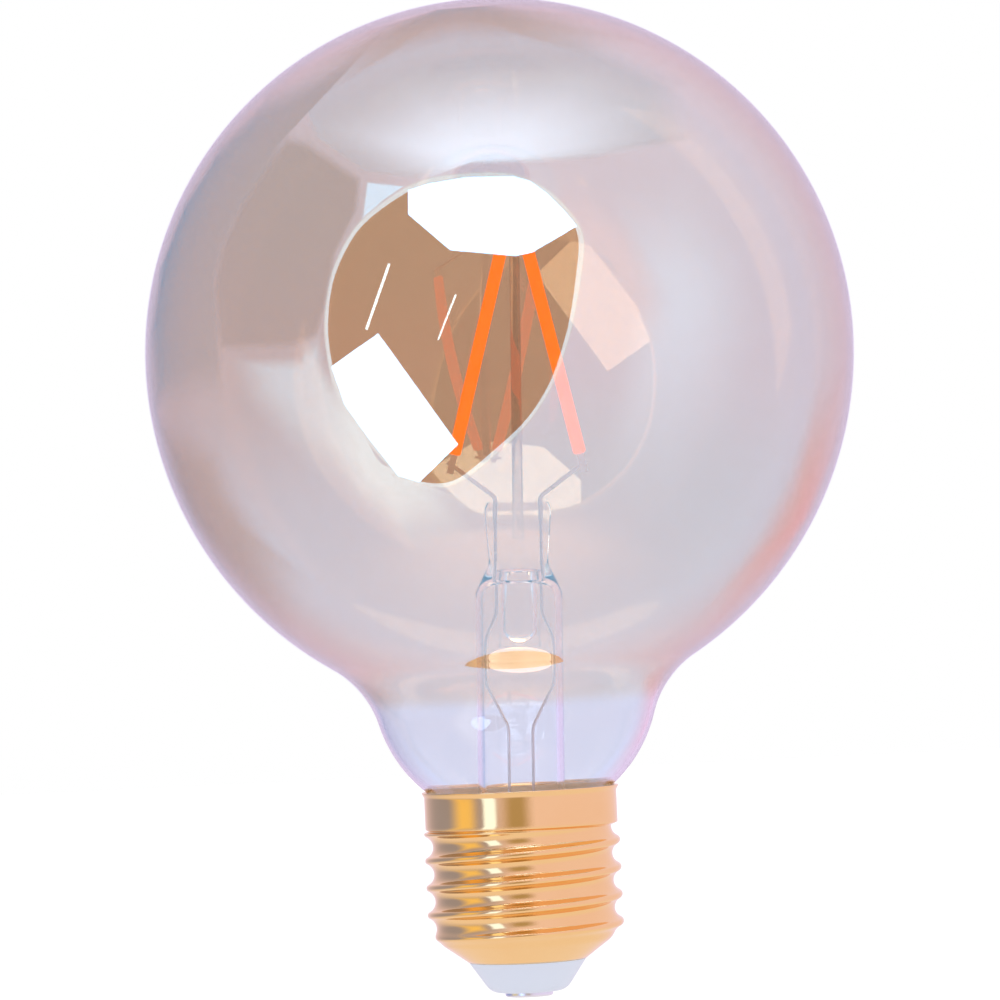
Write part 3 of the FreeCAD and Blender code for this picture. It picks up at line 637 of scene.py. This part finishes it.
# outlines are places in the picture, and reach is the distance from the globe in millimetres
studioCards = {
    "camera_opening": dict(reach=1300.0, colour=(0, 0, 0), ghost=0.55, rounding=12, outline=(
        (405, 192), (430, 182), (467, 177), (513, 176), (548, 193), (581, 230), (577, 270), (570, 323), (552, 381),
        (526, 420), (490, 451), (451, 483), (405, 477), (368, 436), (338, 395), (326, 335), (331, 279),
        (357, 226))),
    "top_panel": dict(reach=1250.0, colour=(3.1, 5.0, 8.0), outline=(
        (408, 190), (408, 214), (450, 250), (516, 256), (533, 252), (577, 226), (564, 210), (547, 193), (530, 181),
        (513, 176), (467, 177), (430, 183))),
    "left_panel": dict(reach=1250.0, colour=(2.9, 4.0, 5.5), outline=(
        (331, 366), (378, 333), (458, 442), (419, 479), (398, 473), (368, 436), (344, 403))),
    "left_lamp": dict(reach=1200.0, colour=(4, 4, 4), ghost=0.0, outline=(
        (388, 263), (390.4, 264), (367.4, 330), (365, 329))),
    "middle_lamp": dict(reach=1200.0, colour=(4, 4, 4), ghost=0.0, outline=(
        (455, 294), (456.6, 295), (438.6, 340), (437.4, 339))),
    "opening_rim": dict(reach=1310.0, colour=(1.3, 1.6, 1.9), rounding=12, soft=0.02, outline=(
        (402, 186), (428, 176), (466, 171), (514, 170), (552, 188), (588, 228), (584, 271), (575, 325), (556, 384),
        (529, 424), (493, 457), (452, 489), (403, 483), (363, 440), (333, 398), (321, 335), (326, 277),
        (353, 222))),
    "roof_lamp": dict(reach=1280.0, colour=(2.0, 2.3, 3.0), soft=1.0, middle=(480, 158), outline=(
        (306, 122), (313, 137), (363, 173), (400, 183), (417, 182), (463, 166), (530, 164), (590, 160), (660, 150),
        (700, 130), (690, 90), (620, 55), (480, 55), (390, 75))),
    "corner_panel": dict(reach=1285.0, colour=(1.2, 1.9, 2.6), soft=0.2, ghost=0.0, outline=(
        (366, 181), (406, 185), (384, 200), (361, 220))),
    "roof": dict(reach=1320.0, colour=(0.45, 0.80, 1.22), soft=0.15, ghost=0.0, middle=(365, 135), outline=(
        (300, 105), (313, 137), (363, 173), (417, 181), (463, 165), (530, 163), (600, 160), (700, 140), (690, 80),
        (600, 30), (500, 8), (400, 25), (330, 70))),
    "side_wall": dict(reach=1290.0, colour=(0, 0.32, 0.58), soft=0.12, ghost=0.0, outline=(
        (210, 293), (217, 253), (237, 207), (287, 133), (307, 137), (363, 175), (360, 207), (337, 253), (327, 307),
        (317, 340), (293, 350), (217, 353))),
    "far_wall": dict(reach=1295.0, colour=(0, 0.38, 0.68), soft=0.3, cover=0.95, ghost=0.0, middle=(183, 245),
                     outline=(
        (153, 416), (148, 343), (158, 270), (184, 201), (223, 138), (274, 85), (395, 20), (330, 70), (300, 105),
        (300, 140), (250, 205), (228, 255), (220, 293), (225, 353), (225, 400))),
    "roof_edge": dict(reach=1275.0, colour=(0.28, 0.42, 0.58), soft=0.8, ghost=0.0, middle=(451, 9), outline=(
        (665, 44), (591, 15), (512, 3), (433, 9), (357, 33), (283, 78), (315, 101), (382, 64), (456, 44),
        (533, 43), (607, 60))),
    "low_edge": dict(reach=1300.0, colour=(0.05, 0.25, 0.40), soft=0.7, cover=0.65, ghost=0.0, middle=(195, 495),
                     outline=(
        (151, 404), (165, 464), (189, 520), (223, 572), (264, 617), (303, 647), (321, 584), (278, 541), (244, 491),
        (221, 435))),
    "shelf": dict(reach=1285.0, colour=(0.85, 1.28, 1.72), soft=0.7, ghost=0.0, middle=(308, 378), outline=(
        (222, 357), (298, 353), (303, 337), (322, 326), (329, 366), (352, 425), (400, 484), (380, 520), (320, 490),
        (270, 440), (235, 400))),
    "right_wall": dict(reach=1300.0, colour=(1.5, 1.9, 2.5), soft=1.0, cover=0.6, ghost=0.0, middle=(680, 300),
                       outline=(
        (600, 170), (690, 160), (760, 240), (775, 340), (740, 450), (660, 540), (590, 520), (600, 400),
        (630, 300))),
    "low_wall": dict(reach=1280.0, colour=(1.5, 1.8, 2.1), soft=0.8, outline=(
        (298, 352), (322, 352), (352, 425), (400, 480), (470, 500), (480, 540), (420, 560), (350, 500),
        (310, 430))),
    "red_wall": dict(reach=1290.0, colour=(1.1, 0.52, 0.66), soft=1.0, ghost=0.0, middle=(800, 515), outline=(
        (851, 347), (843, 430), (815, 510), (770, 578), (700, 640), (690, 620), (750, 540), (790, 460),
        (825, 350))),
    "metal_opening": dict(reach=1300.0, colour=(0.48, 0.38, 0.24), soft=0.8, rounding=10, forMetal=True, outline=(
        (405, 215), (560, 215), (560, 480), (405, 480))),
    "metal_strip": dict(reach=1250.0, colour=(1.2, 1.6, 2.4), soft=0.5, forMetal=True, outline=(
        (350, 250), (412, 250), (412, 470), (350, 470))),
    "metal_side": dict(reach=1250.0, colour=(1.0, 0.76, 0.30), soft=0.9, forMetal=True, outline=(
        (225, 140), (350, 210), (350, 490), (225, 560))),
}
for name, card in studioCards.items():
    studioCard(name, card)
print("studio cards hung")

# pale tent: white where the camera looks, even on plain surfaces and behind glass; in sharp reflections brighter
# from left to right, bluer from low down and duller from the back; for metal warmer towards the ground
tent = dict(white=(1, 1, 1), even=(0.95, 0.95, 0.96), behind=(0.76, 0.77, 0.89), left=(0.36, 0.56, 0.88),
            right=(0.98, 1.06, 1.54), lowLeft=(0.50, 0.92, 1.42), lowRight=(0.78, 1.12, 1.60),
            backLeft=(0.24, 0.39, 0.57), backRight=(0.84, 0.69, 0.92), metalLeft=(0.36, 0.38, 0.60),
            metalRight=(0.92, 0.77, 0.93), ground=(0.92, 0.83, 0.82))
tentSpans = dict(across=(-0.95, -0.1), up=(-0.7, 0.0), back=(0.35, 0.95), fromGround=(-0.7, -0.1))


def makeTent():
    world = bpy.data.worlds.new("tent")
    bpy.context.scene.world = world
    world.use_nodes = True
    tree = world.node_tree
    path = addNode(tree, "ShaderNodeLightPath").outputs
    parts = addNode(tree, "ShaderNodeSeparateXYZ")
    tree.links.new(addNode(tree, "ShaderNodeTexCoord").outputs["Generated"], parts.inputs["Vector"])
    across = spanShare(tree, parts.outputs["X"], *tentSpans["across"])
    up = spanShare(tree, parts.outputs["Z"], *tentSpans["up"])
    back = spanShare(tree, parts.outputs["Y"], *tentSpans["back"])
    fromGround = spanShare(tree, parts.outputs["Z"], *tentSpans["fromGround"])
    reflected = mathNode(tree, "GREATER_THAN", path["Glossy Depth"], cardWork["anyDepth"])
    inFront = mixColour(tree, mixColour(tree, tent["lowLeft"], tent["lowRight"], across),
                        mixColour(tree, tent["left"], tent["right"], across), up)
    mirrored = mixColour(tree, inFront, mixColour(tree, tent["backLeft"], tent["backRight"], across), back)
    sharp = mixColour(tree, tent["behind"], mirrored, reflected)
    onMetal = mixColour(tree, tent["ground"], mixColour(tree, tent["metalLeft"], tent["metalRight"], across),
                        fromGround)
    soft = mixColour(tree, tent["even"], onMetal, path["Is Glossy Ray"])
    around = mixColour(tree, soft, sharp, path["Is Singular Ray"])
    tree.links.new(mixColour(tree, around, tent["white"], path["Is Camera Ray"]),
                   tree.nodes["Background"].inputs["Color"])


# pale floor well below the lamp, lifted to white where the camera sees it, out of sight of sharp reflections
floorLook = dict(height=-90.0, half=4000.0, colour=(0.85, 0.85, 0.86), rough=0.9, lift=(0.32, 0.32, 0.30))


def makeFloor():
    half, height = floorLook["half"] * mm, floorLook["height"] * mm
    corners = [(-half, -half, height), (half, -half, height), (half, half, height), (-half, half, height)]
    mesh = bpy.data.meshes.new("floor")
    mesh.from_pydata(corners, [], [(0, 1, 2, 3)])
    floor = addObject("floor", mesh)
    material, tree, shader = newFinish("floor")
    shader.inputs["Base Color"].default_value = (*floorLook["colour"], 1)
    shader.inputs["Roughness"].default_value = floorLook["rough"]
    shader.inputs["Emission Color"].default_value = (*floorLook["lift"], 1)
    path = addNode(tree, "ShaderNodeLightPath")
    tree.links.new(path.outputs["Is Camera Ray"], shader.inputs["Emission Strength"])
    mesh.materials.append(material)
    floor.visible_glossy = False
    floor.visible_transmission = False


makeTent()
makeFloor()
bpy.context.scene.view_settings.view_transform = "Standard"

# behind the pumping tube light passes a dozen glass walls in a row, and the film's two on each side
lightSteps = 24
bpy.context.scene.cycles.max_bounces = lightSteps
bpy.context.scene.cycles.transmission_bounces = lightSteps
bpy.context.scene.cycles.transparent_max_bounces = lightSteps
print("studio lit")
